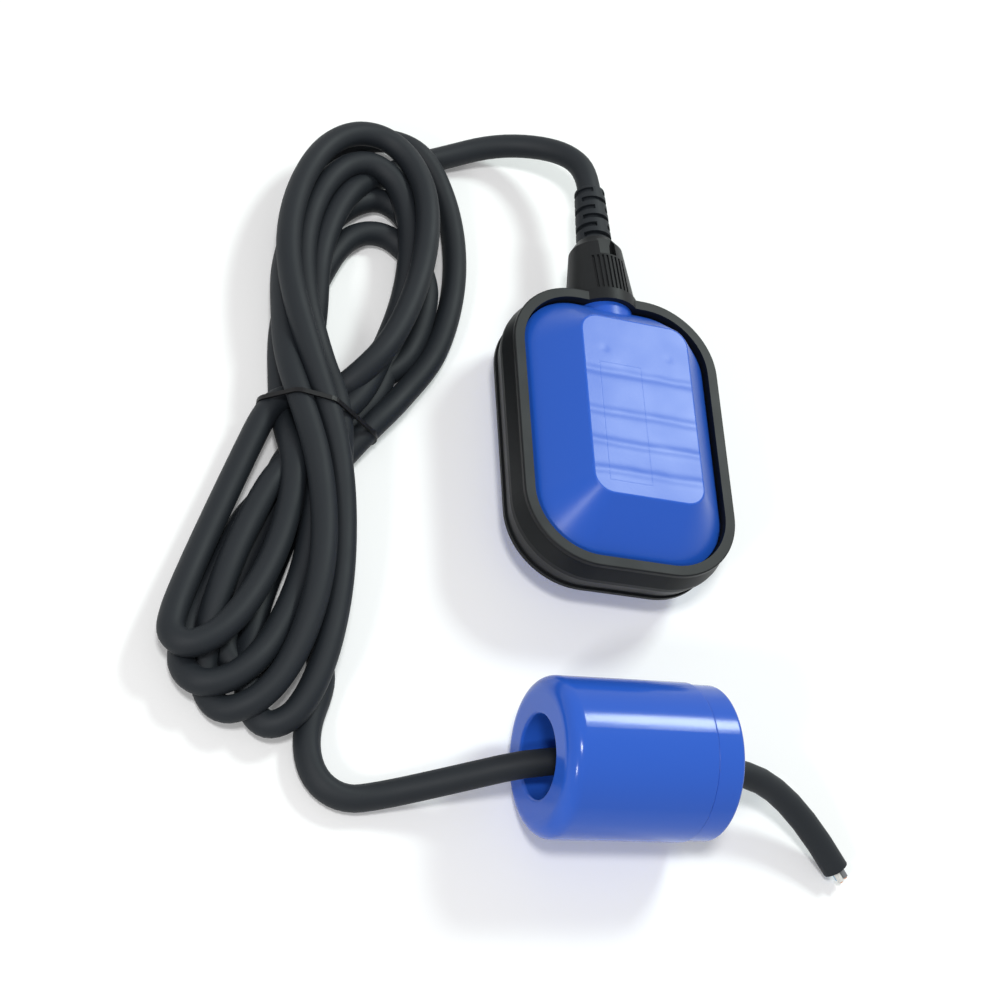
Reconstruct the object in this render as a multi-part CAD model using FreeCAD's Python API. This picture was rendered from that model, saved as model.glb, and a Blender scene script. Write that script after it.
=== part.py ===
import FreeCAD, Part
import math
import os
from FreeCAD import Vector

# Float level switch: a flat two-shell float with a ball-operated switch inside, its cable, and a
# counterweight that slides on the cable. Millimetres, +Z up, the float lies on its back cover and
# the cable leaves towards +Y. The origin is under the middle of the float and its collar.

# Float outline and heights
float_width = 81.0
float_length = 113.0
float_thickness = 48.0
corner_radius = 27.0
frame_thickness = 20.0
ring_width = 3.9
flare = 1.0               # the parting line stands this far outside the ring
groove_depth = 0.8        # waist of the rim just behind the ring
lip_height = 1.8
parting_height = 0.9
edge_round = 0.5

# Blue covers
cover_gap = 0.5           # between a cover's skirt and the ring around it
cover_recess = 3.5        # the skirt's edge lies this far behind the ring's face
cover_wall = 2.2
plateau_width = 42.0
plateau_length = 72.0
plateau_radius = 7.0
plateau_round = 1.2
skirt_round = 0.5
flange_reach = 1.8
flange_thickness = 1.5
boss_radius = 11.4
boss_reach = 3.0          # how far the boss stands out of the skirt under the arch
boss_length = 8.0
post_radius = 3.0
post_x = 13.0
post_y = 22.0

# Collar and strain relief
arch_radius = 13.7
arch_reach = 0.8
collar_reach = 28.7
collar_base_radius = 13.2
collar_nose_radius = 10.2
collar_tip_radius = 7.2
collar_chamfer = 4.5
rib_pitch = 1.7
rib_count = 8
rib_groove = 0.8
rib_depth = 0.6
rib_length = 15.8
rib_setback = 1.4         # from the float's end to the ribs
latch_width = 6.6
latch_length = 10.7
latch_level = 8.7         # the latch tongue's face above the cable's axis
latch_gap = 1.7           # slot beside and behind the tongue
latch_depth = 1.4
cable_diameter = 9.0
sleeve_base_radius = 6.8
sleeve_tip_radius = 5.8
sleeve_reach = 24.9
sleeve_wall_gap = 0.05    # the sleeve's bore around the cable
sleeve_root_radius = 8.8
sleeve_root_length = 3.0
sleeve_lip_gap = 0.2      # from the collar's tip to the sleeve's shoulder
slot_rows = 6
slot_pitch = 4.15
slot_width = 2.0
slot_angle = 138.0
slot_turn = 10.0          # degrees from the top to the middle of the first row's slot
slot_floor_radius = 4.95
slot_setback = 0.8        # from the collar's tip to the first slots
seat_gap = 0.1            # clearance of pieces that only seat in each other
bung_radius = 6.65
bung_length = 13.0
clamp_radius = 9.0
clamp_length = 3.6
clamp_setback = 0.3
neck_seal_inset = 2.0
neck_seal_length = 6.0
root_setback = 6.0        # from the boss to the sleeve's root
shank_step = 0.4          # the sleeve is thinner inside the collar

# Switch capsule
capsule_width = 44.0
capsule_length = 66.0
capsule_end_y = 33.0      # its wall nearest the collar
capsule_height = 30.0
capsule_wall = 1.8
capsule_radius = 6.0
gasket_thickness = 0.8
neck_radius = 8.4
neck_length = 8.5
jacket_setback = 1.0      # from the capsule's wall to where the jacket is stripped

# Ball, race, lever and switch
ball_radius = 7.25
ball_gap = 0.35
race_wall = 1.8
race_length = 52.5
race_floor_length = 34.0
race_end_gap = 1.2        # from the capsule's far wall to the race
race_height = 16.5
ball_travel = 17.5
lever_thickness = 1.6
lever_gap = 0.3           # from the ball at the end of its travel to the free lever
lever_width = 13.6
lever_drop = 5.7          # the lever's pivot below the ball's centre
lever_rise = 6.3
lever_barrel_radius = 1.7
pin_radius = 0.95
pin_gap = 0.05
plunger_radius = 1.2
plunger_gap = 0.25
plunger_travel = 0.9
plunger_reach = 1.6
switch_width = 6.4
switch_depth = 10.2
switch_height = 20.0
screw_radius = 1.1
screw_head_radius = 2.0
terminal_width = 3.2
terminal_thickness = 0.6
terminal_length = 5.0
terminal_pitch = 6.5
core_radius = 1.1
core_spacing = 1.45
core_run = 3.0            # straight stretch of a core at the jacket and at the terminal
switch_corner = 0.4
well_slack = 0.6          # left under the plunger when it is pressed
plunger_hold = 1.0        # the plunger's length inside the case
screw_setback = 7.0
screw_heights = (-6.0, 4.0)
screw_head_height = 1.3
eye_radius = 0.7
eye_setback = 1.6
race_foot_width = 8.0
race_foot_length = 4.0
race_foot_inset = 6.0
pin_press_gap = 0.02      # the pin is held in the race with this clearance

# Counterweight
weight_length = 62.0
weight_radius = 26.25
weight_x = -8.4
weight_y = -137.25
weight_yaw = 3.5          # degrees from +X
weight_wall = 2.5
weight_round = 5.5
mouth_radius = 13.65
mouth_depth = 25.0
throat_radius = 6.5
cone_length = 8.0
cap_length = 10.0
cap_step = 0.6
seam_chamfer = 0.4
cap_flare_radius = 13.0
cap_spigot = 3.0
spigot_wall = 2.0
mouth_round = 1.0
cap_round = 1.4
ballast_round = 1.5
ballast_shift = 1.5       # keeps the ballast's cone clear of the shell's
tube_wall = 2.0           # around the cable's bore
ballast_gap = 0.5
ballast_length = 37.0
ring_clearance = 0.3
stop_ring_radius = 12.8
stop_ring_length = 12.0
stop_ring_nose = 7.2
stop_ring_grip = 0.1
stop_ring_bevel = 1.5
stop_ring_bevel_length = 3.0
stop_ring_split = 1.0

# Cable outside the float: hand-set routes, the coiled hank and its tie
hank_height = 24.0
hank_round = 6.0
tie_radius = 1.0
tie_half_width = 20.5
tie_corner = 8.0
tie_x = -107.5
tie_y = -14.55
tie_yaw = -6.0
tie_lift = 0.1           # between the tie and the ground
core_stub = 4.0
core_lay = 240.0          # degrees that the cores turn round each other down the cable
lead_points = [
    (0.0, 95.75, 24.0), (0.0, 104.7, 24.0), (-5.0, 114.45, 21.5), (-16.0, 120.95, 15.5),
    (-33.0, 121.95, 9.0), (-53.0, 113.45, 5.0), (-66.0, 106.95, 4.6),
]
tail_points = [
    (-103.5, -112.55, 4.6), (-110.0, -129.55, 4.5), (-108.0, -144.55, 4.6), (-98.0, -151.55, 4.5),
    (-85.0, -149.05, 5.4), (-64.0, -144.55, 12.5), (-34.0, -138.82, 26.25), (30.0, -134.9, 26.25),
    (62.0, -139.55, 14.0), (81.0, -160.55, 4.8),
]
hank_outline = [
    (-82.0, 120.5), (-100.0, 109.0), (-113.0, 88.5), (-120.0, 62.5), (-122.5, 35.5), (-122.5, 9.4),
    (-127.5, -14.6), (-135.0, -40.5), (-148.0, -69.5), (-158.5, -92.5), (-158.0, -110.5),
    (-148.0, -126.5), (-128.0, -136.6), (-113.0, -129.6), (-105.0, -113.5), (-97.5, -86.5),
    (-92.5, -53.5), (-89.5, -26.6), (-80.0, -7.5), (-63.0, 21.4), (-51.5, 49.5), (-46.0, 75.5),
    (-49.5, 101.5), (-64.0, 117.5),
]
hank_eye = [
    (-102.0, 45.5), (-92.0, 58.5), (-79.0, 64.5), (-71.0, 60.5), (-71.5, 47.5), (-77.5, 32.5),
    (-87.0, 14.9), (-95.5, 2.5), (-99.5, 13.4), (-102.0, 29.4),
]

# Worked out from the sizes above
middle_z = float_thickness / 2
ring_z = middle_z + frame_thickness / 2
skirt_z = ring_z - cover_recess
float_y = -collar_reach / 2
half_length = float_length / 2
cable_radius = cable_diameter / 2
skirt_offset = -(ring_width + cover_gap)
skirt_end_y = half_length + skirt_offset
boss_end_y = skirt_end_y + boss_reach
collar_end_y = half_length + collar_reach
sleeve_end_y = collar_end_y + sleeve_reach
sleeve_shank_radius = sleeve_base_radius - shank_step
root_y = boss_end_y + root_setback
bung_start_y = skirt_end_y - 5.0
capsule_middle_y = capsule_end_y - capsule_length / 2
neck_end_y = capsule_end_y + neck_length
jacket_start_y = capsule_end_y + jacket_setback
race_start_y = capsule_end_y - capsule_length + capsule_wall + race_end_gap
race_half_width = ball_radius + ball_gap
ball_rest_y = race_start_y + race_wall + ball_gap + ball_radius
lever_y = ball_rest_y + ball_travel + ball_radius + lever_gap
lever_back_y = lever_y + lever_thickness
pivot_y = lever_y + lever_thickness / 2
pivot_z = middle_z - lever_drop
plunger_y = lever_back_y + plunger_gap
switch_y = plunger_y + plunger_reach
switch_back_y = switch_y + switch_depth
cone_start = -weight_length / 2 + mouth_depth
cone_end = cone_start + cone_length

X_AXIS = Vector(1, 0, 0)
Y_AXIS = Vector(0, 1, 0)
Z_AXIS = Vector(0, 0, 1)


def rounded_path(points, radii, closed=False):
    # Straight runs joined by tangent arcs; a corner with radius 0 stays sharp.
    points = [Vector(*p) for p in points]
    count = len(points)
    corners = []
    for i, point in enumerate(points):
        at_end = not closed and i in (0, count - 1)
        if at_end or radii[i] == 0:
            corners.append((point, None, point))
            continue
        before = (points[i - 1] - point).normalize()
        after = (points[(i + 1) % count] - point).normalize()
        half_turn = (math.pi - before.getAngle(after)) / 2
        reach = radii[i] * math.tan(half_turn)
        inward = (before + after).normalize()
        middle = point + inward * (radii[i] / math.cos(half_turn) - radii[i])
        corners.append((point + before * reach, middle, point + after * reach))
    edges = []
    for i, (start, middle, end) in enumerate(corners):
        if middle is not None:
            edges.append(Part.Arc(start, middle, end).toShape())
        if i < count - 1 or closed:
            following = corners[(i + 1) % count][0]
            if end.distanceToPoint(following) > 1e-6:
                edges.append(Part.LineSegment(end, following).toShape())
    return Part.Wire(edges)


def rectangle(width, length, radius, z):
    w, l = width / 2, length / 2
    corners = [(-w, -l, z), (w, -l, z), (w, l, z), (-w, l, z)]
    return rounded_path(corners, [radius] * 4, closed=True)


def outline(grow, z):
    # The float's outline, moved outwards by grow.
    return rectangle(float_width + 2 * grow, float_length + 2 * grow, corner_radius + grow, z)


def plate(wire, height):
    return Part.Face(wire).extrude(Z_AXIS * height)


def taper(lower, upper):
    return Part.makeLoft([lower, upper], True, True)


def turned(profile, centre, axis, radii=None):
    # A ring turned about axis through centre; profile points are (along, radius).
    side = Z_AXIS
    points = [tuple(centre + axis * along + side * r) for along, r in profile]
    wire = rounded_path(points, radii or [0] * len(points), closed=True)
    return Part.Face(wire).revolve(centre, axis, 360)


def rod(radius, start, end):
    start, end = Vector(*start), Vector(*end)
    return Part.makeCylinder(radius, start.distanceToPoint(end), start, end - start)


def upper_half(shape):
    size = 2 * (float_length + sleeve_end_y)
    half_space = Part.makeBox(size, size, size, Vector(-size / 2, -size / 2, middle_z))
    return shape.common(half_space)


def flipped(shape):
    return shape.mirror(Vector(0, 0, middle_z), Z_AXIS)


def tube(points, radius):
    # A plain round tube along a route; each bend is as large as its two runs allow.
    vectors = [Vector(*p) for p in points]
    radii = [0.0]
    for before, corner, after in zip(vectors, vectors[1:], vectors[2:]):
        first, second = corner - before, after - corner
        half_turn = first.getAngle(second) / 2
        radii.append(0.45 * min(first.Length, second.Length) / math.tan(half_turn))
    radii.append(0.0)
    path = rounded_path(points, radii)
    direction = vectors[1] - vectors[0]
    section = Part.Wire(Part.makeCircle(radius, vectors[0], direction))
    solid = path.makePipeShell([section], True, True)
    expected = math.pi * radius ** 2 * path.Length
    print("tube length %.1f mm, volume ratio %.4f, bends %s" % (
        path.Length, solid.Volume / expected, [round(r) for r in radii[1:-1]]))
    return solid


def cover_body(inset):
    # Skirt, sloping sides and flat plateau of a cover, inset evenly from its outside.
    slope_shift = inset * math.tan(math.pi / 8)
    skirt_top = skirt_z - slope_shift
    skirt = outline(skirt_offset - inset, middle_z)
    rim = outline(skirt_offset - inset, skirt_top)
    top = rectangle(plateau_width - 2 * slope_shift, plateau_length - 2 * slope_shift,
                    plateau_radius - slope_shift, float_thickness - inset)
    return plate(skirt, skirt_top - middle_z).fuse(taper(rim, top)).removeSplitter()


def edges_at(body, level):
    return [e for e in body.Edges if all(abs(v.Z - level) < 1e-3 for v in e.Vertexes)]


def front_cover():
    body = cover_body(0.0)
    body = body.makeFillet(plateau_round, edges_at(body, float_thickness))
    body = body.makeFillet(skirt_round, edges_at(body, skirt_z))
    boss_start = (0, boss_end_y - boss_length, middle_z)
    boss = upper_half(rod(boss_radius, boss_start, (0, boss_end_y, middle_z)))
    flange = plate(outline(skirt_offset + flange_reach, middle_z), flange_thickness)
    cover = body.fuse(flange).cut(cover_body(cover_wall)).fuse(boss)
    for x in (-post_x, post_x):
        for y in (-post_y, post_y):
            post_top = (x, y, float_thickness - cover_wall)
            post_foot = (x, y, middle_z + capsule_height / 2 + seat_gap)
            cover = cover.fuse(rod(post_radius, post_foot, post_top))
    cable_hole = rod(bung_radius + seat_gap, (0, bung_start_y - 5, middle_z), (0, boss_end_y + 1, middle_z))
    return cover.cut(cable_hole).removeSplitter()


def collar_cone(shrink):
    # Outside of the collar, shrunk evenly in radius.
    taper_end = collar_end_y - collar_chamfer
    profile = [
        (half_length, 0), (half_length, collar_base_radius - shrink),
        (taper_end, collar_nose_radius - shrink), (collar_end_y, collar_tip_radius - shrink),
        (collar_end_y, 0),
    ]
    return turned(profile, Vector(0, 0, middle_z), Y_AXIS)


def grip_grooves():
    # Lengthwise grooves across the collar's top that leave ribs between them.
    start = half_length + rib_setback
    first = -rib_pitch * (rib_count - 1) / 2
    slabs = []
    for i in range(rib_count):
        corner = Vector(first + i * rib_pitch - rib_groove / 2, start, middle_z)
        slabs.append(Part.makeBox(rib_groove, rib_length, collar_base_radius + 2, corner))
    return Part.Compound(slabs).cut(collar_cone(rib_depth))


def collar_bores():
    axis_point = (0, boss_end_y - 20, middle_z)
    bung_bore = rod(bung_radius + seat_gap, axis_point, (0, root_y, middle_z))
    root_bore = rod(sleeve_root_radius + seat_gap, (0, root_y - seat_gap, middle_z),
                    (0, root_y + sleeve_root_length + seat_gap, middle_z))
    shank_bore = rod(sleeve_shank_radius + seat_gap, (0, root_y, middle_z),
                     (0, collar_end_y + 1, middle_z))
    boss_room = rod(boss_radius + seat_gap, axis_point, (0, boss_end_y + seat_gap, middle_z))
    return [bung_bore, root_bore, shank_bore, boss_room]


def front_frame():
    band_top = ring_z - lip_height
    rim = plate(outline(flare, middle_z), parting_height)
    band = taper(outline(flare, middle_z + parting_height), outline(-groove_depth, band_top))
    lip = plate(outline(0, band_top), lip_height)
    lip = lip.makeFillet(edge_round, edges_at(lip, ring_z))
    arch_start_y = half_length - ring_width
    arch = rod(arch_radius, (0, arch_start_y, middle_z), (0, half_length + arch_reach, middle_z))
    collar = arch.fuse(collar_cone(0.0))
    opening = plate(outline(-ring_width, middle_z), frame_thickness)
    frame = rim.fuse(band).fuse(lip).cut(opening).fuse(upper_half(collar))
    pocket = plate(outline(skirt_offset + flange_reach + seat_gap, middle_z), flange_thickness + seat_gap)
    frame = frame.cut(pocket)
    for bore in collar_bores():
        frame = frame.cut(bore)
    return frame.cut(latch_cut()).cut(grip_grooves()).removeSplitter()


def latch_cut():
    # Flat tongue on the collar's top with a slot along one side of it and behind it.
    left, back = -latch_width / 2, collar_end_y - latch_length
    floor = middle_z + latch_level - latch_depth
    flat = Part.makeBox(latch_width, latch_length + 1, arch_radius,
                        Vector(left, back, middle_z + latch_level))
    side_slot = Part.makeBox(latch_gap, latch_length + 1, arch_radius,
                             Vector(-left - latch_gap, back, floor))
    back_slot = Part.makeBox(latch_width - latch_gap, latch_gap / 2, arch_radius,
                             Vector(left + latch_gap, back, floor))
    return flat.fuse(side_slot).fuse(back_slot)


def strain_sleeve():
    bore = cable_radius + sleeve_wall_gap
    profile = [
        (root_y, bore), (root_y, sleeve_root_radius),
        (root_y + sleeve_root_length, sleeve_root_radius),
        (root_y + sleeve_root_length, sleeve_shank_radius),
        (collar_end_y + sleeve_lip_gap, sleeve_shank_radius),
        (collar_end_y + sleeve_lip_gap, sleeve_base_radius),
        (sleeve_end_y, sleeve_tip_radius), (sleeve_end_y, bore),
    ]
    radii = [0, 0, 0, 0, 0, 0.3, 0.6, 0]
    sleeve = turned(profile, Vector(0, 0, middle_z), Y_AXIS, radii)
    slots = []
    for row in range(slot_rows):
        y = collar_end_y + slot_setback + row * slot_pitch
        outer = sleeve_base_radius + 1
        section = [(y, slot_floor_radius), (y + slot_width, slot_floor_radius),
                   (y + slot_width, outer), (y, outer)]
        points = [(0, along, middle_z + r) for along, r in section]
        wedge = Part.Face(rounded_path(points, [0] * 4, closed=True))
        wedge = wedge.revolve(Vector(0, 0, middle_z), Y_AXIS, slot_angle)
        for side in range(2):
            slot = wedge.copy()
            turn = slot_turn + side * 180 + (row % 2) * 90 - slot_angle / 2
            slot.rotate(Vector(0, 0, middle_z), Y_AXIS, turn)
            slots.append(slot)
    return sleeve.cut(Part.Compound(slots))


def capsule_block(inset, z, height):
    # The capsule's plan, inset evenly, raised from z by height.
    wire = rectangle(capsule_width - 2 * inset, capsule_length - 2 * inset, capsule_radius - inset, z)
    return plate(wire, height).translated(Vector(0, capsule_middle_y, 0))


def neck_bore():
    return rod(bung_radius + seat_gap, (0, capsule_middle_y, middle_z), (0, neck_end_y + 1, middle_z))


def capsule_half():
    # Lower half of the switch capsule: a box with a neck for the cable, cut at the middle.
    low = middle_z - capsule_height / 2
    seam = middle_z - gasket_thickness / 2
    neck = rod(neck_radius, (0, capsule_end_y - capsule_wall, middle_z), (0, neck_end_y, middle_z))
    below = Part.makeBox(2 * neck_radius, 2 * neck_length, neck_radius,
                         Vector(-neck_radius, capsule_end_y - capsule_wall, seam - neck_radius))
    box = capsule_block(0.0, low, seam - low).fuse(neck.common(below))
    inner = capsule_block(capsule_wall, low + capsule_wall, capsule_height)
    return box.cut(inner).cut(neck_bore()).removeSplitter()


def capsule_gasket():
    seam = middle_z - gasket_thickness / 2
    outer = capsule_block(0.0, seam, gasket_thickness)
    inner = capsule_block(capsule_wall, seam, gasket_thickness)
    return outer.cut(inner).cut(neck_bore())


def cable_ring(radius, start_y, length, bore=cable_radius + sleeve_wall_gap):
    profile = [(start_y, bore), (start_y, radius), (start_y + length, radius), (start_y + length, bore)]
    return turned(profile, Vector(0, 0, middle_z), Y_AXIS)


def ball_race():
    outside = race_half_width + race_wall
    floor_z = middle_z - race_half_width - race_wall
    base = Vector(-outside, race_start_y, floor_z)
    channel = Part.makeBox(2 * outside, race_length, race_height, base)
    hollow = Part.makeBox(2 * race_half_width, race_length, race_height,
                          base + Vector(race_wall, race_wall, race_wall))
    no_floor = Part.makeBox(2 * race_half_width, race_length, race_height,
                            base + Vector(race_wall, race_floor_length, -race_wall))
    race = channel.cut(hollow).cut(no_floor)
    foot_z = middle_z - capsule_height / 2 + capsule_wall
    for y in (race_start_y + race_foot_inset, race_start_y + race_floor_length - race_foot_inset):
        foot = Part.makeBox(race_foot_width, race_foot_length, floor_z - foot_z,
                            Vector(-race_foot_width / 2, y, foot_z))
        race = race.fuse(foot)
    pad_width = race_half_width - switch_width / 2 - seat_gap
    for x in (-race_half_width, switch_width / 2 + seat_gap):
        pad = Part.makeBox(pad_width, switch_depth - 1, race_height, Vector(x, switch_y + 0.5, floor_z))
        race = race.fuse(pad)
    for y, z in screw_places():
        race = race.cut(rod(screw_radius + seat_gap, (-outside - 1, y, z), (outside + 1, y, z)))
    hole_start = (-outside - 1, pivot_y, pivot_z)
    pin_hole = rod(pin_radius + pin_press_gap, hole_start, (outside + 1, pivot_y, pivot_z))
    return race.cut(pin_hole).removeSplitter()


def steel_ball():
    return Part.makeSphere(ball_radius, Vector(0, ball_rest_y, middle_z))


def trip_lever():
    blade = Part.makeBox(lever_width, lever_thickness, lever_drop + lever_rise,
                         Vector(-lever_width / 2, lever_y, pivot_z))
    barrel = rod(lever_barrel_radius, (-lever_width / 2, pivot_y, pivot_z),
                 (lever_width / 2, pivot_y, pivot_z))
    bore = rod(pin_radius + pin_gap, (-lever_width, pivot_y, pivot_z), (lever_width, pivot_y, pivot_z))
    return blade.fuse(barrel).cut(bore).removeSplitter()


def lever_pin():
    reach = race_half_width + race_wall
    return rod(pin_radius, (-reach, pivot_y, pivot_z), (reach, pivot_y, pivot_z))


def screw_places():
    return [(switch_y + screw_setback, middle_z + height) for height in screw_heights]


def switch_case():
    corner = Vector(-switch_width / 2, switch_y, middle_z - switch_height / 2)
    case = Part.makeBox(switch_width, switch_depth, switch_height, corner)
    well_end = switch_y + plunger_hold + plunger_travel + well_slack
    well = rod(plunger_radius + pin_gap, (0, switch_y - 1, middle_z), (0, well_end, middle_z))
    profile_edges = [e for e in case.Edges if abs(e.Vertexes[0].X - e.Vertexes[-1].X) < 1e-6]
    case = case.makeFillet(switch_corner, profile_edges)
    for y, z in screw_places():
        case = case.cut(rod(screw_radius + seat_gap, (-switch_width, y, z), (switch_width, y, z)))
    return case.cut(well)


def switch_plunger():
    start = (0, plunger_y, middle_z)
    plunger = rod(plunger_radius, start, (0, switch_y + plunger_hold, middle_z))
    tip = [e for e in plunger.Edges if abs(e.BoundBox.YMax - plunger_y) < 1e-6]
    return plunger.makeFillet(plunger_radius / 3, tip)


def switch_screws():
    outside = race_half_width + race_wall
    screws = []
    for y, z in screw_places():
        shank = rod(screw_radius, (-outside, y, z), (outside, y, z))
        head = rod(screw_head_radius, (outside, y, z), (outside + screw_head_height, y, z))
        screws.append(shank.fuse(head).removeSplitter())
    return Part.Compound(screws)


def terminal(index):
    z = middle_z + (index - 1) * terminal_pitch
    corner = Vector(-terminal_width / 2, switch_back_y, z - terminal_thickness / 2)
    blade = Part.makeBox(terminal_width, terminal_length, terminal_thickness, corner)
    eye_y = switch_back_y + terminal_length - eye_setback
    return blade.cut(rod(eye_radius, (0, eye_y, z - 1), (0, eye_y, z + 1)))


def switch_core(index):
    # A core from the stripped jacket to the end of its switch terminal.
    level = index - 1
    end_y = switch_back_y + terminal_length
    z = middle_z + level * terminal_pitch
    start_x, start_z = core_place(index)
    points = [
        (start_x, jacket_start_y, start_z), (start_x, jacket_start_y - core_run, start_z),
        (0, end_y + core_run, z), (0, end_y, z),
    ]
    return tube(points, core_radius)


def core_place(index):
    angle = math.radians((-90, 25, 150)[index])
    return core_spacing * math.cos(angle), middle_z + core_spacing * math.sin(angle)


def weight_place(shape):
    shape.rotate(Vector(0, 0, 0), Z_AXIS, weight_yaw)
    return shape.translated(Vector(weight_x, weight_y, weight_radius))


def weight_shell():
    half = weight_length / 2
    seam = half - cap_length
    inner = weight_radius - weight_wall
    profile = [
        (-half, mouth_radius), (-half, weight_radius), (seam, weight_radius), (seam, inner),
        (-half + weight_wall, inner), (-half + weight_wall, mouth_radius + tube_wall),
        (cone_start + 1, mouth_radius + tube_wall), (cone_end + 1, throat_radius + tube_wall),
        (seam, throat_radius + tube_wall), (seam, throat_radius),
        (cone_end, throat_radius), (cone_start, mouth_radius),
    ]
    radii = [mouth_round, weight_round, seam_chamfer, 0, weight_round - weight_wall, 0, 0, 0, 0, 0, 0, 0]
    return weight_place(turned(profile, Vector(0, 0, 0), X_AXIS, radii))


def weight_cap():
    half = weight_length / 2
    seam = half - cap_length + seat_gap
    outer = weight_radius - cap_step
    spigot = weight_radius - weight_wall - seat_gap
    spigot_inner = spigot - spigot_wall
    back = half - weight_wall
    profile = [
        (seam, throat_radius), (half, cap_flare_radius), (half, outer), (seam, outer), (seam, spigot),
        (seam - cap_spigot, spigot), (seam - cap_spigot, spigot_inner), (back, spigot_inner),
        (back, cap_flare_radius + cap_round), (seam, throat_radius + tube_wall),
    ]
    radii = [0, 0.8, cap_round, seam_chamfer, 0, 0, 0, 0, 0, 0]
    return weight_place(turned(profile, Vector(0, 0, 0), X_AXIS, radii))


def weight_ballast():
    end = weight_length / 2 - cap_length - cap_spigot
    start = end - ballast_length
    wide = mouth_radius + tube_wall + ballast_gap
    narrow = throat_radius + tube_wall + ballast_gap
    outer = weight_radius - weight_wall - ballast_gap
    profile = [(start, wide), (start, outer), (end, outer), (end, narrow),
               (cone_end + ballast_shift, narrow), (cone_start + ballast_shift, wide)]
    return weight_place(turned(profile, Vector(0, 0, 0), X_AXIS, [0, ballast_round, ballast_round, 0, 0, 0]))


def stop_ring():
    # Split wedge ring that grips the cable and seats in the counterweight's cone.
    slope = (mouth_radius - throat_radius) / cone_length
    seat = cone_start - ring_clearance / math.sin(math.atan(slope))
    shoulder = seat + (mouth_radius - stop_ring_radius) / slope
    nose = seat + (mouth_radius - stop_ring_nose) / slope
    tail = nose - stop_ring_length
    bore = cable_radius + stop_ring_grip
    profile = [
        (tail, bore), (tail, stop_ring_radius - stop_ring_bevel),
        (tail + stop_ring_bevel_length, stop_ring_radius),
        (shoulder, stop_ring_radius), (nose, stop_ring_nose), (nose, bore),
    ]
    ring = turned(profile, Vector(0, 0, 0), X_AXIS)
    split = Part.makeBox(stop_ring_length + 2, stop_ring_split, stop_ring_radius + 1,
                         Vector(tail - 1, -stop_ring_split / 2, 0))
    return weight_place(ring.cut(split))


def cable_hank():
    # The coiled cable as one closed solid: a long loop with an eye, tied at its waist.
    rim = closed_curve(hank_outline)
    eye = closed_curve(hank_eye)
    solid = plate(rim, hank_height).cut(plate(eye, hank_height))
    flat_edges = [e for e in solid.Edges if e.BoundBox.ZLength < 1e-6]
    return solid.makeFillet(hank_round, flat_edges)


def closed_curve(points):
    curve = Part.BSplineCurve()
    curve.interpolate(Points=[Vector(x, y, 0) for x, y in points], PeriodicFlag=True)
    return Part.Wire(curve.toShape())


def hank_tie():
    # A thin tie round the hank's waist, biting slightly into the bundle.
    height = hank_height + tie_radius
    middle = height / 2 + tie_lift
    width = 2 * tie_half_width
    outer = plate(rectangle(width, height, tie_corner, -tie_radius), 2 * tie_radius)
    inner = plate(rectangle(width - 4 * tie_radius, height - 4 * tie_radius,
                            tie_corner - 2 * tie_radius, -tie_radius), 2 * tie_radius)
    tie = outer.cut(inner)
    rims = [e for e in tie.Edges if e.BoundBox.ZLength < 1e-6]
    tie = tie.makeFillet(0.8 * tie_radius, rims)
    tie.rotate(Vector(0, 0, 0), X_AXIS, 90)
    tie.rotate(Vector(0, 0, 0), Z_AXIS, tie_yaw)
    return tie.translated(Vector(tie_x, tie_y, middle))


def end_core(index):
    # A core that shows beyond the cut end of the jacket.
    before, tip = Vector(*tail_points[-2]), Vector(*tail_points[-1])
    direction = (tip - before).normalize()
    across = direction.cross(Z_AXIS).normalize()
    upward = across.cross(direction)
    x, z = core_place(index)
    start = tip + across * x + upward * (z - middle_z)
    core = rod(core_radius, tuple(start), tuple(start + direction * core_stub))
    core.rotate(tip, direction, -core_lay)
    return core


os.makedirs("parts", exist_ok=True)


def save(name, shape):
    if not shape.isValid():
        print("invalid:", name)
    shape.exportStep("parts/%s.step" % name)


cable = cable_ring(cable_radius, jacket_start_y, sleeve_end_y - jacket_start_y, bore=0)
float_pieces = {
    "front_cover": front_cover(),
    "back_cover": flipped(front_cover()),
    "front_frame": front_frame(),
    "back_frame": flipped(front_frame()),
    "strain_sleeve": strain_sleeve(),
    "cable_bung": cable_ring(bung_radius, bung_start_y, bung_length),
    "cable_clamp": cable_ring(clamp_radius, neck_end_y + clamp_setback, clamp_length),
    "neck_seal": cable_ring(bung_radius, capsule_end_y + neck_seal_inset, neck_seal_length),
    "cable_entry": cable,
    "capsule_base": capsule_half(),
    "capsule_lid": flipped(capsule_half()),
    "capsule_gasket": capsule_gasket(),
    "ball_race": ball_race(),
    "steel_ball": steel_ball(),
    "trip_lever": trip_lever(),
    "lever_pin": lever_pin(),
    "switch_case": switch_case(),
    "switch_plunger": switch_plunger(),
    "switch_screws": switch_screws(),
}
for number, name in enumerate(("closed_terminal", "common_terminal", "open_terminal")):
    float_pieces[name] = terminal(number)
core_names = ("grey_core", "blue_core", "white_core")
for number, name in enumerate(core_names):
    float_pieces[name] = switch_core(number)
for name, shape in float_pieces.items():
    save(name, shape.translated(Vector(0, float_y, 0)))

save("cable_lead", tube(lead_points, cable_radius))
save("cable_hank", cable_hank())
save("hank_tie", hank_tie())
save("cable_tail", tube(tail_points, cable_radius))
for number, name in enumerate(core_names):
    save("tail_" + name, end_core(number))
save("stop_ring", stop_ring())
save("weight_shell", weight_shell())
save("weight_ballast", weight_ballast())
save("weight_cap", weight_cap())
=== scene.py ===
import math

import bmesh
import bpy
import numpy as np
from mathutils import Matrix, Vector


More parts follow.
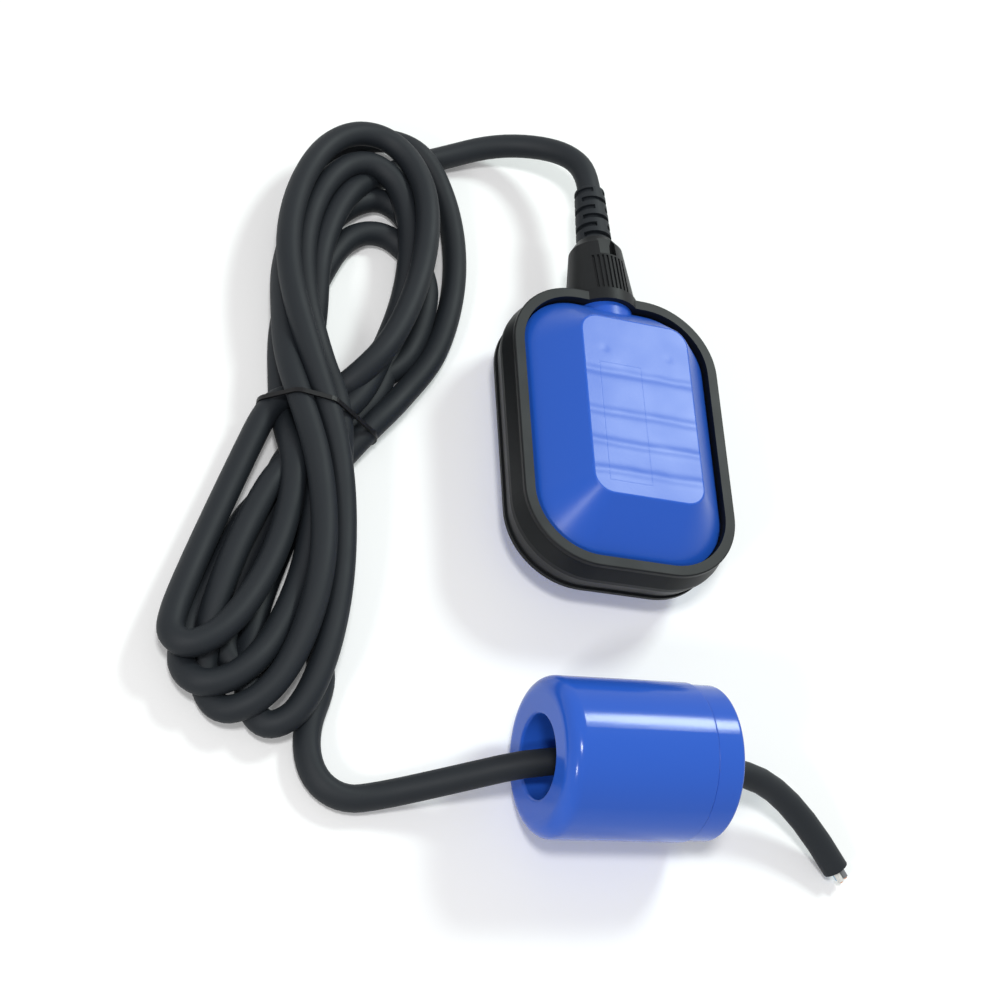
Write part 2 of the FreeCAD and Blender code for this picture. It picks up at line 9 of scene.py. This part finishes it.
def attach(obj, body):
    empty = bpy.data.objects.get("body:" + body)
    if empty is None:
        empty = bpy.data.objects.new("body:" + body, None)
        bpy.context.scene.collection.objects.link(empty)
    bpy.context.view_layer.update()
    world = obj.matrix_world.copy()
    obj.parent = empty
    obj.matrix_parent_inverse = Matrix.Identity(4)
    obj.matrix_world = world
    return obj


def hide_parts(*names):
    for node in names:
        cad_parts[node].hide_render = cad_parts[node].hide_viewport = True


# Float level switch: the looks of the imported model, in metres, with the float lying on its back
# cover and the cable coiled beside it.
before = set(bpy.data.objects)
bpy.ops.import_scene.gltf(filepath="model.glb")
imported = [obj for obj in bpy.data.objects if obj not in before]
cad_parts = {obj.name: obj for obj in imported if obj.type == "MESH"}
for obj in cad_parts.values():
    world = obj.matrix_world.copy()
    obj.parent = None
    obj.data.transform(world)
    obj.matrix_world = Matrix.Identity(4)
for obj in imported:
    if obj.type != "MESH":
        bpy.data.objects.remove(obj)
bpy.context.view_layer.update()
scene = bpy.context.scene
print("frame loaded:", len(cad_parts), "nodes")

mm = 0.001

camera = {
    "place": (-0.29338, -0.37225, 0.57009),
    "right": (0.92131, -0.05536, 0.38486),
    "up": (-0.13984, 0.87640, 0.46083),
    "lens": 72.0,
    "sensor": 36.0,
}


def makeCamera(values):
    right, up = Vector(values["right"]), Vector(values["up"])
    data = bpy.data.cameras.new("camera")
    data.lens = values["lens"]
    data.sensor_width = values["sensor"]
    data.clip_start, data.clip_end = 0.05, 20.0
    obj = bpy.data.objects.new("camera", data)
    scene.collection.objects.link(obj)
    turn = Matrix((right, up, right.cross(up))).transposed().to_4x4()
    obj.matrix_world = Matrix.Translation(values["place"]) @ turn
    scene.camera = obj


# The cable in millimetres: from the float to the coil, and from the coil to its bare end
cable = {
    "diameter": 9.0,
    "lead": [
        (0.0, 95.75, 24.0), (0.0, 104.7, 24.0), (-5.0, 114.45, 21.5), (-16.0, 120.95, 15.5),
        (-33.0, 121.95, 9.0), (-53.0, 113.45, 5.0), (-66.0, 106.95, 4.6),
    ],
    "tail": [
        (-103.5, -112.55, 4.6), (-110.0, -129.55, 4.5), (-108.0, -144.55, 4.6), (-98.0, -151.55, 4.5),
        (-85.0, -149.05, 5.4), (-64.0, -144.55, 12.5), (-34.0, -138.82, 26.25), (30.0, -134.9, 26.25),
        (62.0, -139.55, 14.0), (81.0, -160.55, 4.8),
    ],
}

# The coil, also in millimetres: figure-of-eight turns, each a lower loop, a pass behind the tie, an
# upper loop and a pass in front of it. A loop has its tip, its bulge to the left and right and its
# three heights.
coil = {
    "tieY": -12.5,
    # how far along a loop, and how much of its bulge the side has there
    "shape": [(0.12, 0.38), (0.30, 0.78), (0.52, 1.0), (0.76, 0.92), (0.92, 0.62)],
    "wideShape": [(-0.03, 0.72), (0.12, 0.92), (0.30, 1.0), (0.52, 1.0), (0.76, 0.84), (0.92, 0.52)],
    "turns": [
        {"front": (-111, 4.5), "lower": ((-137, -118), 8, 16, (4.5, 4.5, 4.5)),
         "back": (-101, 4.5), "upper": ((-73.5, 77), 20, 21, (4.5, 4.5, 4.5))},
        {"front": (-112, 8), "lower": ((-151.5, -125), 8, 21, (4.5, 7, 9)),
         "back": (-95, 4.5), "upper": ((-77, 95.5), 16.5, 22, (4.5, 4.5, 4.5))},
        {"front": (-116, 6), "lower": ((-161, -114.5), 2, 20, (9, 13, 15)),
         "back": (-119, 8), "upper": ((-79.5, 113.5), 26, 30, (17, 17, 17)),
         "backY": -3, "upperWide": True},
        {"front": (-105, 17), "lower": ((-124.5, -138), 15, 14, (4.5, 9, 15)),
         "back": (-88, 6), "upper": ((-75, 120), 23, 36, (4.5, 7, 4.5))},
        {"front": (-115, 16), "lower": ((-140, -133), 15, 19, (4.5, 5, 18)),
         "back": (-98, 9), "upper": ((-82, 103), 22.5, 20, (12, 11, 8))},
    ],
    "start": [(-77, 99, 4.6), (-90, 87, 4.8), (-99.5, 74, 4.6), (-105, 60.5, 4.5), (-108, 41.5, 4.5)],
    "leave": [(-99, -12.5, 11), (-99, -43.5, 6), (-102.5, -70, 4.5), (-107, -92, 4.5)],
    "rise": 0.4,            # share of a side in which it reaches its own height
    "tipPart": 0.3,         # share of a side in which it reaches the tip's height
    "step": 6.0,            # spacing of the points while the strands settle
    "rounds": 240,
    "neighbours": 4,        # points this near along the line don't push each other
    "fixedEnds": (3, 3),    # points at each end that stay in their places
    "push": 0.3,            # share of an overlap that one round clears
    "spread": 0.6,          # how much of a push goes sideways, against upwards
    "hold": 0.12,           # pull of each point back to its own place
    "stiffness": 0.4,
    "weight": 0.04,
    "easing": 9.0,          # step of the finished line, which rounds its tight tips
}


def loopPoints(start, end, loop, rightShape, values):
    # One loop of a turn: along its right side, round the tip and back along its left side.
    tip, left, right, levels = loop
    start, end, tip = (np.array(p, float) for p in (start, end, (*tip, levels[1])))
    middle = (start + end) / 2
    axis = (tip - middle) * (1, 1, 0)
    across = np.array([abs(axis[1]), -axis[0] * np.sign(axis[1]), 0.0]) / np.linalg.norm(axis)
    runs = []
    tipPart = values["tipPart"]
    sides = ((start, 1, right, levels[2], rightShape), (end, -1, left, levels[0], values["shape"]))
    for foot, side, bulge, level, shape in sides:
        run = []
        for along, out in shape:
            point = middle + (foot - middle) * (1 - along) ** 2 + axis * along
            point = point + across * side * bulge * out
            rise = min(1.0, along / values["rise"])
            settle = max(0.0, (along - (1 - tipPart)) / tipPart)
            height = foot[2] * (1 - rise) + level * rise
            point[2] = height * (1 - settle) + levels[1] * settle
            run.append(point)
        runs.append(run)
    return [start] + runs[0] + [tip] + runs[1][::-1]


def coilPoints(values):
    # The whole coil's line before its strands settle, from the start to where it leaves.
    points = [np.array(p, float) for p in values["start"]]
    turns = values["turns"]
    passes = [turn["front"] for turn in turns[1:]] + [values["leave"][0][::2]]
    for turn, following in zip(turns, passes):
        feet = (turn["front"], turn["back"], following)
        front, back, after = ([x, values["tieY"], z] for x, z in feet)
        back[1] = turn.get("backY", values["tieY"])
        rising = values["wideShape"] if turn.get("upperWide") else values["shape"]
        points += loopPoints(front, back, turn["lower"], values["shape"], values)
        points += loopPoints(back, after, turn["upper"], rising, values)
    return points + [np.array(p, float) for p in values["leave"]]


def evenPoints(points, step):
    # The smooth line of these control points, cut into equal steps.
    points = np.array(points)
    joints = np.vstack([points[:1], (points[1:-2] + points[2:-1]) / 2, points[-1:]])
    line = [joints[0]]
    shares = np.linspace(0, 1, 12)[1:]
    for begin, control, end in zip(joints, points[1:-1], joints[1:]):
        for t in shares:
            line.append((1 - t) ** 2 * begin + 2 * t * (1 - t) * control + t * t * end)
    line = np.array(line)
    travel = np.r_[0, np.cumsum(np.linalg.norm(np.diff(line, axis=0), axis=1))]
    places = np.linspace(0, travel[-1], int(round(travel[-1] / step)) + 1)
    return np.stack([np.interp(places, travel, line[:, k]) for k in range(3)], 1)


def settleStrands(points, diameter, values):
    # Strands that lie in each other are pushed apart until they lie beside and on each other.
    places, home = points.copy(), points.copy()
    index = np.arange(len(places))
    apart = np.triu(np.abs(index[:, None] - index[None, :]) > values["neighbours"])
    first, last = values["fixedEnds"]
    fixed = (index < first) | (index >= len(places) - last)
    for _ in range(values["rounds"]):
        gaps = places[:, None, :] - places[None, :, :]
        distance = np.linalg.norm(gaps, axis=2)
        one, other = np.nonzero((distance < diameter) & apart)
        away = gaps[one, other] * (values["spread"], values["spread"], 1.0)
        away /= np.maximum(np.linalg.norm(away, axis=1), 1e-6)[:, None]
        push = away * (diameter - distance[one, other])[:, None] * values["push"]
        move, count = np.zeros_like(places), np.zeros(len(places))
        for ends, sign in ((one, 1), (other, -1)):
            np.add.at(move, ends, push * sign)
            np.add.at(count, ends, 1)
        places += move / np.sqrt(np.maximum(count, 1))[:, None]
        bend = np.zeros_like(places)
        bend[1:-1] = (places[:-2] + places[2:]) / 2 - places[1:-1]
        places += bend * values["stiffness"]
        places[:, :2] += (home[:, :2] - places[:, :2]) * values["hold"]
        places[:, 2] += (home[:, 2] - places[:, 2]) * values["hold"] / 2 - values["weight"]
        places[:, 2] = np.maximum(places[:, 2], diameter / 2)
        places[fixed] = home[fixed]
    return places


def makeCable():
    # One round cable on a single line, through its settled coil.
    lead, tail = cable["lead"], cable["tail"]
    middle = evenPoints([lead[-1]] + coilPoints(coil) + [tail[0]], coil["step"])
    middle = settleStrands(middle, cable["diameter"], coil)
    middle = evenPoints(middle, coil["easing"])
    route = [*lead, *middle[1:-1], *tail]
    data = bpy.data.curves.new("cable", "CURVE")
    data.dimensions = "3D"
    data.bevel_depth = cable["diameter"] / 2 * mm
    data.bevel_resolution = 6
    data.resolution_u = 5
    data.use_fill_caps = True
    spline = data.splines.new("NURBS")
    spline.points.add(len(route) - 1)
    for point, place in zip(spline.points, route):
        point.co = (*(Vector(place) * mm), 1.0)
    spline.order_u = 3
    spline.use_endpoint_u = True
    obj = bpy.data.objects.new("cable", data)
    scene.collection.objects.link(obj)
    return obj, [Vector(place) * mm for place in route]


def newMesh(name, bm):
    data = bpy.data.meshes.new(name)
    bm.to_mesh(data)
    bm.free()
    obj = bpy.data.objects.new(name, data)
    scene.collection.objects.link(obj)
    return obj


conductors = {
    "cores": ["tail_grey_core", "tail_white_core", "tail_blue_core"],
    "radius": 0.62 * mm,
    "shown": 0.5 * mm,
    "faceDepth": 0.05 * mm,     # points this near to a core's end belong to its cut face
}


def makeConductors(values):
    # The bright copper that shows at the cut end of each core.
    heading = (Vector(cable["tail"][-1]) - Vector(cable["tail"][-2])).normalized()
    turn = heading.to_track_quat("Z", "Y").to_matrix().to_4x4()
    bm = bmesh.new()
    for name in values["cores"]:
        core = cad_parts[name]
        spots = [core.matrix_world @ vertex.co for vertex in core.data.vertices]
        reach = max(spot.dot(heading) for spot in spots)
        rim = [spot for spot in spots if spot.dot(heading) > reach - values["faceDepth"]]
        place = sum(rim, Vector()) / len(rim) + heading * values["shown"] / 2
        bmesh.ops.create_cone(bm, cap_ends=True, segments=20, radius1=values["radius"],
                              radius2=values["radius"], depth=values["shown"],
                              matrix=Matrix.Translation(place) @ turn)
    return newMesh("conductors", bm)


tie = {
    "middle": (-107.5 * mm, -15.5 * mm, 0.0),
    "yaw": math.radians(-8.0),
    "reach": 50 * mm,           # strands within this of the middle are tied
    "width": 1.7 * mm,
    "thickness": 0.7 * mm,
    "gap": 0.1 * mm,            # between the cable and the tie
    "floorGap": 0.15 * mm,
    "endFacing": 0.7,           # hull faces that look along the coil more than this are opened
}


def strandsAtTie(line, values):
    # Where the coil's strands cross the plane of the tie, in the tie's own across and up.
    found = []
    facing = Vector((-math.sin(values["yaw"]), math.cos(values["yaw"]), 0))
    across = Vector((facing.y, -facing.x, 0))
    middle = Vector(values["middle"])
    for a, b in zip(line, line[1:]):
        da, db = (a - middle).dot(facing), (b - middle).dot(facing)
        if da * db < 0:
            place = a.lerp(b, da / (da - db)) - middle
            if abs(place.dot(across)) < values["reach"]:
                found.append((place.dot(across), place.z))
    return found, across, facing, middle


def makeTie(line, values):
    # A thin band drawn tight round the strands: the hull of a ring round each, with its ends open.
    found, across, facing, middle = strandsAtTie(line, values)
    turn = Matrix((across, facing, Vector((0, 0, 1)))).transposed().to_4x4()
    bm = bmesh.new()
    radius = cable["diameter"] / 2 * mm + values["gap"]
    for x, z in found:
        for offset in (-values["width"] / 2, values["width"] / 2):
            place = Matrix.Translation(middle) @ turn @ Matrix.Translation((x, offset, z))
            place = place @ Matrix.Rotation(math.pi / 2, 4, "X")
            bmesh.ops.create_circle(bm, segments=36, radius=radius, matrix=place)
    hull = bmesh.ops.convex_hull(bm, input=bm.verts, use_existing_faces=False)
    spare = {v for key in ("geom_interior", "geom_unused") for v in hull[key]
             if isinstance(v, bmesh.types.BMVert)}
    bmesh.ops.delete(bm, geom=list(spare), context="VERTS")
    bm.normal_update()
    ends = [f for f in bm.faces if abs(f.normal.dot(facing)) > values["endFacing"]]
    bmesh.ops.delete(bm, geom=ends, context="FACES_ONLY")
    lines = [e for e in bm.edges if not e.link_faces]
    bmesh.ops.delete(bm, geom=lines, context="EDGES")
    for vert in bm.verts:
        vert.co.z = max(vert.co.z, values["floorGap"] + values["thickness"])
    bmesh.ops.recalc_face_normals(bm, faces=bm.faces)
    inside = middle + Vector((0, 0, cable["diameter"] * mm))
    outward = sum(f.normal.dot(f.calc_center_median() - inside) for f in bm.faces)
    if outward < 0:
        bmesh.ops.reverse_faces(bm, faces=bm.faces)
    bmesh.ops.solidify(bm, geom=bm.faces, thickness=-values["thickness"])
    return newMesh("tieBand", bm), found


makeCamera(camera)
cableObject, cableLine = makeCable()

finishes = {
    # color, roughness, specular level, scale and depth of the grain, metal, marks of the moulding
    "blueShell": {"color": (0.017, 0.102, 0.550), "roughness": 0.34, "specular": 0.36,
                  "grain": 900.0, "depth": 0.05},
    "blueFace": {"color": (0.017, 0.102, 0.550), "roughness": 0.34, "specular": 0.36,
                 "grain": 900.0, "depth": 0.05, "marks": True},
    "blueGloss": {"color": (0.022, 0.104, 0.545), "roughness": 0.17, "specular": 0.25,
                  "grain": 140.0, "depth": 0.05},
    "blackFrame": {"color": (0.010, 0.011, 0.012), "roughness": 0.44, "specular": 0.16,
                   "grain": 1400.0, "depth": 0.06},
    "blackRubber": {"color": (0.0088, 0.0115, 0.0150), "roughness": 0.58, "specular": 0.26,
                    "grain": 1100.0, "depth": 0.10},
    "sealRubber": {"color": (0.020, 0.020, 0.020), "roughness": 0.60, "grain": 900.0, "depth": 0.08},
    "naturalPlastic": {"color": (0.620, 0.610, 0.560), "roughness": 0.40, "grain": 800.0, "depth": 0.04},
    "switchBlack": {"color": (0.030, 0.030, 0.032), "roughness": 0.45, "grain": 1200.0, "depth": 0.05},
    "redPlastic": {"color": (0.450, 0.030, 0.020), "roughness": 0.30, "grain": 900.0, "depth": 0.02},
    "greyCore": {"color": (0.170, 0.175, 0.185), "roughness": 0.38, "grain": 900.0, "depth": 0.04},
    "whiteCore": {"color": (0.700, 0.690, 0.660), "roughness": 0.38, "grain": 900.0, "depth": 0.04},
    "blueCore": {"color": (0.190, 0.400, 0.620), "roughness": 0.38, "grain": 900.0, "depth": 0.04},
    "tieBlack": {"color": (0.005, 0.005, 0.006), "roughness": 0.40, "specular": 0.20,
                 "grain": 900.0, "depth": 0.03},
    "brightSteel": {"color": (0.720, 0.720, 0.740), "roughness": 0.12, "grain": 500.0, "depth": 0.01,
                    "metal": 1.0},
    "zincSteel": {"color": (0.560, 0.560, 0.580), "roughness": 0.32, "grain": 700.0, "depth": 0.04,
                  "metal": 1.0},
    "brassTin": {"color": (0.640, 0.460, 0.200), "roughness": 0.28, "grain": 700.0, "depth": 0.03,
                 "metal": 1.0},
    "copper": {"color": (0.640, 0.270, 0.130), "roughness": 0.30, "grain": 900.0, "depth": 0.03,
               "metal": 1.0},
    "castIron": {"color": (0.080, 0.078, 0.075), "roughness": 0.60, "grain": 500.0, "depth": 0.30,
                 "metal": 0.6},
}

mouldPattern = {
    "detail": 3.0,
    "broadScale": 60.0,
    "wander": (0.88, 1.14),     # roughness goes between these shares of its own value
    "height": 0.2 * mm,
}


def mouldGrainGroup(values):
    # Fine moulded grain: a height for Bump, and a roughness that wanders a little.
    group = bpy.data.node_groups.new("mouldGrain", "ShaderNodeTree")
    for name, value in (("Scale", 900.0), ("Roughness", 0.4)):
        socket = group.interface.new_socket(name, in_out="INPUT", socket_type="NodeSocketFloat")
        socket.default_value = value
    for name in ("Height", "Roughness"):
        group.interface.new_socket(name, in_out="OUTPUT", socket_type="NodeSocketFloat")
    nodes, links = group.nodes, group.links
    inputs, outputs = nodes.new("NodeGroupInput"), nodes.new("NodeGroupOutput")
    place = nodes.new("ShaderNodeTexCoord")
    fine, broad = nodes.new("ShaderNodeTexNoise"), nodes.new("ShaderNodeTexNoise")
    fine.inputs["Detail"].default_value = values["detail"]
    broad.inputs["Scale"].default_value = values["broadScale"]
    spread = nodes.new("ShaderNodeMapRange")
    spread.inputs["To Min"].default_value = values["wander"][0]
    spread.inputs["To Max"].default_value = values["wander"][1]
    wander = nodes.new("ShaderNodeMath")
    wander.operation = "MULTIPLY"
    links.new(place.outputs["Object"], fine.inputs["Vector"])
    links.new(place.outputs["Object"], broad.inputs["Vector"])
    links.new(inputs.outputs["Scale"], fine.inputs["Scale"])
    links.new(broad.outputs["Fac"], spread.inputs["Value"])
    links.new(spread.outputs["Result"], wander.inputs[0])
    links.new(inputs.outputs["Roughness"], wander.inputs[1])
    links.new(fine.outputs["Fac"], outputs.inputs["Height"])
    links.new(wander.outputs["Value"], outputs.inputs["Roughness"])
    return group


mouldGrain = mouldGrainGroup(mouldPattern)

# Marks of the moulding on the flat face of the float's cover, all in metres
faceMarks = {
    "level": 47.8 * mm,         # marks show above this height only
    "bands": [-1.5 * mm, -18.0 * mm, -30.2 * mm, -41.6 * mm],
    "bandWidth": 1.9 * mm,
    "bandDepth": 0.18 * mm,
    "pins": [(-12.5 * mm, 8.0 * mm), (12.5 * mm, 8.0 * mm)],
    "pinRadius": 1.7 * mm,
    "pinDepth": 0.07 * mm,
    "panel": ((-15.2 * mm, 0.8 * mm), (-45.3 * mm, 2.2 * mm)),
    "lineWidth": 0.16 * mm,
    "lineDepth": 0.016 * mm,
    "waves": 0.16 * mm,         # height of the slow waves
    "waveScale": 45.0,
    "bandWander": 2.0 * mm,     # how far the bands stray from straight
}


def faceMarksGroup(values):
    # Height of sink bands, ejector dimples, a faint panel line and slow waves on the flat face.
    group = bpy.data.node_groups.new("faceMarks", "ShaderNodeTree")
    group.interface.new_socket("Height", in_out="OUTPUT", socket_type="NodeSocketFloat")
    nodes, links = group.nodes, group.links
    place, split = nodes.new("ShaderNodeTexCoord"), nodes.new("ShaderNodeSeparateXYZ")
    links.new(place.outputs["Object"], split.inputs["Vector"])
    x, y, z = (split.outputs[axis] for axis in "XYZ")

    def compute(operation, *terms):
        node = nodes.new("ShaderNodeMath")
        node.operation = operation
        for socket, term in zip(node.inputs, terms):
            if isinstance(term, float):
                socket.default_value = term
            else:
                links.new(term, socket)
        return node.outputs["Value"]

    def hump(distance, width, height):
        share = compute("DIVIDE", distance, width)
        fall = compute("EXPONENT", compute("MULTIPLY", compute("MULTIPLY", share, share), -1.0))
        return compute("MULTIPLY", fall, height)

    def outside(value, low, high):
        return compute("SUBTRACT", compute("ABSOLUTE", compute("SUBTRACT", value, (low + high) / 2)),
                       (high - low) / 2)

    bend = nodes.new("ShaderNodeTexNoise")
    bend.inputs["Scale"].default_value = values["waveScale"]
    links.new(place.outputs["Object"], bend.inputs["Vector"])
    stray = values["bandWander"]
    along = compute("ADD", y, compute("MULTIPLY", bend.outputs["Fac"], stray))
    parts = []
    for band in values["bands"]:
        distance = compute("SUBTRACT", along, band + stray / 2)
        parts.append(hump(distance, values["bandWidth"], -values["bandDepth"]))
    for pinX, pinY in values["pins"]:
        offX, offY = compute("SUBTRACT", x, pinX), compute("SUBTRACT", y, pinY)
        squares = [compute("MULTIPLY", offX, offX), compute("MULTIPLY", offY, offY)]
        reach = compute("SQRT", compute("ADD", *squares))
        parts.append(hump(reach, values["pinRadius"], -values["pinDepth"]))
    edge = compute("MAXIMUM", outside(x, *values["panel"][0]), outside(y, *values["panel"][1]))
    parts.append(hump(edge, values["lineWidth"], -values["lineDepth"]))
    parts.append(compute("MULTIPLY", bend.outputs["Fac"], values["waves"]))
    total = parts[0]
    for part in parts[1:]:
        total = compute("ADD", total, part)
    shown = compute("GREATER_THAN", z, values["level"])
    outputs = nodes.new("NodeGroupOutput")
    links.new(compute("MULTIPLY", total, shown), outputs.inputs["Height"])
    return group


faceMarksNodes = faceMarksGroup(faceMarks)


def makeMaterial(name, values):
    material = bpy.data.materials.new(name)
    material.use_nodes = True
    nodes, links = material.node_tree.nodes, material.node_tree.links
    shader = nodes["Principled BSDF"]
    shader.inputs["Base Color"].default_value = (*values["color"], 1.0)
    shader.inputs["Metallic"].default_value = values.get("metal", 0.0)
    shader.inputs["Specular IOR Level"].default_value = values.get("specular", 0.5)
    grain = nodes.new("ShaderNodeGroup")
    grain.node_tree = mouldGrain
    grain.inputs["Scale"].default_value = values["grain"]
    grain.inputs["Roughness"].default_value = values["roughness"]
    bump = nodes.new("ShaderNodeBump")
    bump.inputs["Strength"].default_value = values["depth"]
    bump.inputs["Distance"].default_value = mouldPattern["height"]
    links.new(grain.outputs["Height"], bump.inputs["Height"])
    links.new(grain.outputs["Roughness"], shader.inputs["Roughness"])
    links.new(bump.outputs["Normal"], shader.inputs["Normal"])
    if values.get("marks"):
        marks, relief = nodes.new("ShaderNodeGroup"), nodes.new("ShaderNodeBump")
        marks.node_tree = faceMarksNodes
        relief.inputs["Distance"].default_value = 1.0
        links.new(marks.outputs["Height"], relief.inputs["Height"])
        links.new(relief.outputs["Normal"], bump.inputs["Normal"])
    return material


materials = {name: makeMaterial(name, values) for name, values in finishes.items()}

nodeFinishes = {
    "blueShell": ["back_cover"],
    "blueFace": ["front_cover"],
    "blueGloss": ["weight_shell", "weight_cap"],
    "blackFrame": ["front_frame", "back_frame"],
    "blackRubber": ["strain_sleeve", "cable_entry", "cable_lead", "cable_hank", "cable_tail"],
    "sealRubber": ["cable_bung", "neck_seal", "capsule_gasket"],
    "naturalPlastic": ["cable_clamp", "capsule_base", "capsule_lid", "ball_race"],
    "switchBlack": ["switch_case", "stop_ring"],
    "redPlastic": ["switch_plunger"],
    "brightSteel": ["steel_ball", "lever_pin"],
    "zincSteel": ["switch_screws", "trip_lever"],
    "brassTin": ["closed_terminal", "common_terminal", "open_terminal"],
    "greyCore": ["grey_core", "tail_grey_core"],
    "whiteCore": ["white_core", "tail_white_core"],
    "blueCore": ["blue_core", "tail_blue_core"],
    "castIron": ["weight_ballast"],
    "tieBlack": ["hank_tie"],
}


def paint(obj, finish):
    obj.data.materials.clear()
    obj.data.materials.append(materials[finish])


for finish, names in nodeFinishes.items():
    for name in names:
        paint(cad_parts[name], finish)
print("materials:", len(materials))

paint(cableObject, "blackRubber")
tieObject, tieCrossings = makeTie(cableLine, tie)
paint(tieObject, "tieBlack")
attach(cableObject, "float")
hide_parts("cable_lead", "cable_hank", "cable_tail")
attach(tieObject, "float")
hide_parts("hank_tie")
conductorObject = makeConductors(conductors)
paint(conductorObject, "copper")
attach(conductorObject, "float")
print("tie crossings:", len(tieCrossings))

room = {
    "floorSize": 6.0,
    "floorColor": (0.90, 0.90, 0.90),
    "floorRoughness": 0.85,
    "floorGlow": 0.12,
    "lamps": [
        # name, place, size, watts, tint
        ("backPanel", (0.72, 0.76, 1.20), 0.34, 12.0, (0.89, 1.00, 0.96)),
        ("topPanel", (-0.50, -0.33, 1.40), 0.22, 9.0, (1.00, 1.00, 1.00)),
        ("frontPanel", (-1.11, -0.97, 0.91), 0.20, 6.5, (1.00, 1.00, 1.00)),
    ],
    "aim": (-0.03, -0.02, 0.02),
    "skyStrength": 0.30,
}


def seenRays(tree):
    # One where the floor or sky is seen, straight or in a reflection, and nought where it lights.
    light = tree.nodes.new("ShaderNodeLightPath")
    seen = light.outputs["Is Camera Ray"]
    for kind in ("Is Glossy Ray", "Is Transmission Ray"):
        either = tree.nodes.new("ShaderNodeMath")
        either.operation = "MAXIMUM"
        tree.links.new(seen, either.inputs[0])
        tree.links.new(light.outputs[kind], either.inputs[1])
        seen = either.outputs["Value"]
    return seen


def makeRoom(values):
    bm = bmesh.new()
    bmesh.ops.create_grid(bm, x_segments=1, y_segments=1, size=values["floorSize"] / 2)
    floor = newMesh("floor", bm)
    material = bpy.data.materials.new("paleFloor")
    material.use_nodes = True
    shader = material.node_tree.nodes["Principled BSDF"]
    shader.inputs["Base Color"].default_value = (*values["floorColor"], 1.0)
    shader.inputs["Roughness"].default_value = values["floorRoughness"]
    shader.inputs["Emission Color"].default_value = (1.0, 1.0, 1.0, 1.0)
    glow = material.node_tree.nodes.new("ShaderNodeMath")
    glow.operation = "MULTIPLY"
    glow.inputs[1].default_value = values["floorGlow"]
    material.node_tree.links.new(seenRays(material.node_tree), glow.inputs[0])
    material.node_tree.links.new(glow.outputs["Value"], shader.inputs["Emission Strength"])
    floor.data.materials.append(material)
    aim = Vector(values["aim"])
    for name, place, size, watts, tint in values["lamps"]:
        data = bpy.data.lights.new(name, "AREA")
        data.shape = "SQUARE"
        data.size = size
        data.energy = watts
        data.color = tint
        lamp = bpy.data.objects.new(name, data)
        lamp.location = place
        lamp.rotation_euler = (aim - Vector(place)).to_track_quat("-Z", "Y").to_euler()
        scene.collection.objects.link(lamp)
    world = bpy.data.worlds.new("studio")
    world.use_nodes = True
    scene.world = world
    nodes, links = world.node_tree.nodes, world.node_tree.links
    background = nodes["Background"]
    background.inputs["Color"].default_value = (1.0, 1.0, 1.0, 1.0)
    seen = nodes.new("ShaderNodeMapRange")
    seen.inputs["To Min"].default_value = values["skyStrength"]
    seen.inputs["To Max"].default_value = 1.0
    links.new(seenRays(world.node_tree), seen.inputs["Value"])
    links.new(seen.outputs["Result"], background.inputs["Strength"])


makeRoom(room)
scene.view_settings.view_transform = "Standard"
print("room and lamps done")
